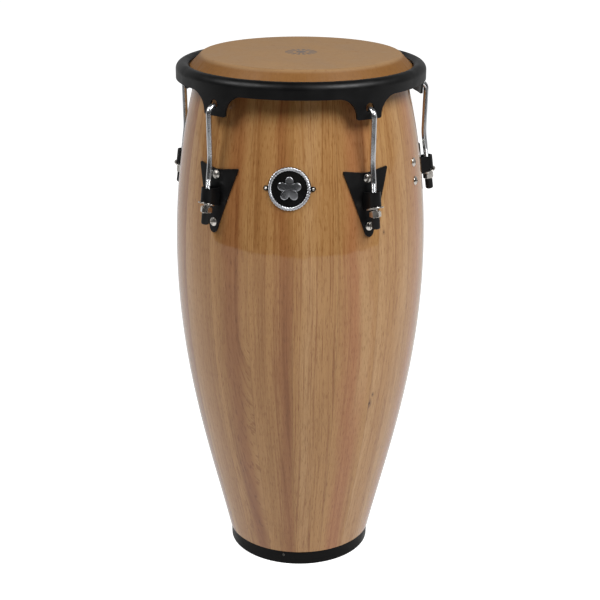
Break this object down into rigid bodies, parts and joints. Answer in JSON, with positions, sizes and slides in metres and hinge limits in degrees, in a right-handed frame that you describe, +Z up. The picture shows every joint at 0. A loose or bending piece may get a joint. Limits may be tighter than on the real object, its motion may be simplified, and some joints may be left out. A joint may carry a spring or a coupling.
{
  "type": "conga drum",
  "caption": "Barrel-shaped hand drum with a glued wood stave shell, a hide head, a rolled steel rim pulled down by hooked tuning rods, and a rubber foot ring.",
  "frame": {"origin": "on the drum's axis, on the floor under the foot ring", "axes": "+Z up along the drum's axis to the playing surface; -Y is the front, where the badge is; azimuths run from -Y towards +X"},
  "size_m": [0.3654, 0.3615, 0.711],
  "materials": {
    "wood_pale": "clear gloss varnish over pale yellow rubberwood",
    "wood_tan": "clear gloss varnish over tan rubberwood",
    "wood_pink": "clear gloss varnish over pinkish rubberwood",
    "wood_brown": "clear gloss varnish over reddish-brown rubberwood",
    "rawhide": "translucent tan hide, satin",
    "black_steel": "satin black powder coat",
    "rod_chrome": "polished chrome plate",
    "nickel": "bright nickel plate",
    "zinc_steel": "zinc plate",
    "hoop_steel": "bare drawn steel",
    "badge_metal": "black enamel in a bright metal border",
    "foot_rubber": "satin moulded rubber",
    "cap_rubber": "matt rubber"
  },
  "bodies": {
    "shell": {"stave_01": "wood_tan", "stave_02": "wood_pink", "stave_03": "wood_pale", "stave_04": "wood_pink", "stave_05": "wood_tan", "stave_06": "wood_brown", "stave_07": "wood_pale", "stave_08": "wood_tan", "stave_09": "wood_pink", "stave_10": "wood_tan", "stave_11": "wood_pale", "stave_12": "wood_brown", "stave_13": "wood_tan", "stave_14": "wood_pale", "stave_15": "wood_pink", "stave_16": "wood_pale", "stave_17": "wood_pink", "stave_18": "wood_tan", "foot_ring": "foot_rubber", "foot_tacks": "nickel", "badge_plate": "badge_metal", "badge_nails": "nickel", "drumhead_skin": "rawhide", "lug_bolts": "nickel", "lug_bolt_washers": "zinc_steel", "lug_bolt_nuts": "zinc_steel", "side_bolts": "nickel", "side_bolt_washers": "zinc_steel", "side_bolt_nuts": "zinc_steel", "lug_plate_1": "black_steel", "lug_plate_2": "black_steel", "lug_plate_3": "black_steel", "lug_plate_4": "black_steel", "lug_plate_5": "black_steel", "tuning_washer_1": "nickel", "tuning_washer_2": "nickel", "tuning_washer_3": "nickel", "tuning_washer_4": "nickel", "tuning_washer_5": "nickel"},
    "rim": {"rim": "black_steel", "flesh_hoop": "hoop_steel"},
    "hook_1": {"tuning_hook_1": "rod_chrome", "rod_cap_1": "cap_rubber"},
    "nut_1": {"tuning_nut_1": "nickel"},
    "hook_2": {"tuning_hook_2": "rod_chrome", "rod_cap_2": "cap_rubber"},
    "nut_2": {"tuning_nut_2": "nickel"},
    "hook_3": {"tuning_hook_3": "rod_chrome", "rod_cap_3": "cap_rubber"},
    "nut_3": {"tuning_nut_3": "nickel"},
    "hook_4": {"tuning_hook_4": "rod_chrome", "rod_cap_4": "cap_rubber"},
    "nut_4": {"tuning_nut_4": "nickel"},
    "hook_5": {"tuning_hook_5": "rod_chrome", "rod_cap_5": "cap_rubber"},
    "nut_5": {"tuning_nut_5": "nickel"}
  },
  "joints": [
    {"name": "rim_tuning", "type": "slide", "parent": "shell", "child": "rim", "axis": [0, 0, -1], "range_m": [0, 0.008], "deforming": ["drumhead_skin"]},
    {"name": "hook_1_pull", "type": "slide", "parent": "shell", "child": "hook_1", "axis": [0.0818, -0.1126, -0.9903], "range_m": [0, 0.0081]},
    {"name": "nut_1_turn", "type": "hinge", "parent": "shell", "child": "nut_1", "pos_m": [0.10651, -0.14659, 0.53915], "axis": [-0.0818, 0.1126, 0.9903], "range_deg": [0, 2295]},
    {"name": "hook_2_pull", "type": "slide", "parent": "shell", "child": "hook_2", "axis": [0.1324, 0.043, -0.9903], "range_m": [0, 0.0081]},
    {"name": "nut_2_turn", "type": "hinge", "parent": "shell", "child": "nut_2", "pos_m": [0.17233, 0.05599, 0.53915], "axis": [-0.1324, -0.043, 0.9903], "range_deg": [0, 2295]},
    {"name": "hook_3_pull", "type": "slide", "parent": "shell", "child": "hook_3", "axis": [0, 0.1392, -0.9903], "range_m": [0, 0.0081]},
    {"name": "nut_3_turn", "type": "hinge", "parent": "shell", "child": "nut_3", "pos_m": [0, 0.1812, 0.53915], "axis": [0, -0.1392, 0.9903], "range_deg": [0, 2295]},
    {"name": "hook_4_pull", "type": "slide", "parent": "shell", "child": "hook_4", "axis": [-0.1324, 0.043, -0.9903], "range_m": [0, 0.0081]},
    {"name": "nut_4_turn", "type": "hinge", "parent": "shell", "child": "nut_4", "pos_m": [-0.17233, 0.05599, 0.53915], "axis": [0.1324, -0.043, 0.9903], "range_deg": [0, 2295]},
    {"name": "hook_5_pull", "type": "slide", "parent": "shell", "child": "hook_5", "axis": [-0.0818, -0.1126, -0.9903], "range_m": [0, 0.0081]},
    {"name": "nut_5_turn", "type": "hinge", "parent": "shell", "child": "nut_5", "pos_m": [-0.10651, -0.14659, 0.53915], "axis": [0.0818, 0.1126, 0.9903], "range_deg": [0, 2295]}
  ],
  "couplings": [
    {"joint": "hook_1_pull", "follows": "rim_tuning", "ratio": 1.0098},
    {"joint": "nut_1_turn", "follows": "rim_tuning", "rad_per_m": 4996},
    {"joint": "hook_2_pull", "follows": "rim_tuning", "ratio": 1.0098},
    {"joint": "nut_2_turn", "follows": "rim_tuning", "rad_per_m": 4996},
    {"joint": "hook_3_pull", "follows": "rim_tuning", "ratio": 1.0098},
    {"joint": "nut_3_turn", "follows": "rim_tuning", "rad_per_m": 4996},
    {"joint": "hook_4_pull", "follows": "rim_tuning", "ratio": 1.0098},
    {"joint": "nut_4_turn", "follows": "rim_tuning", "rad_per_m": 4996},
    {"joint": "hook_5_pull", "follows": "rim_tuning", "ratio": 1.0098},
    {"joint": "nut_5_turn", "follows": "rim_tuning", "rad_per_m": 4996}
  ]
}
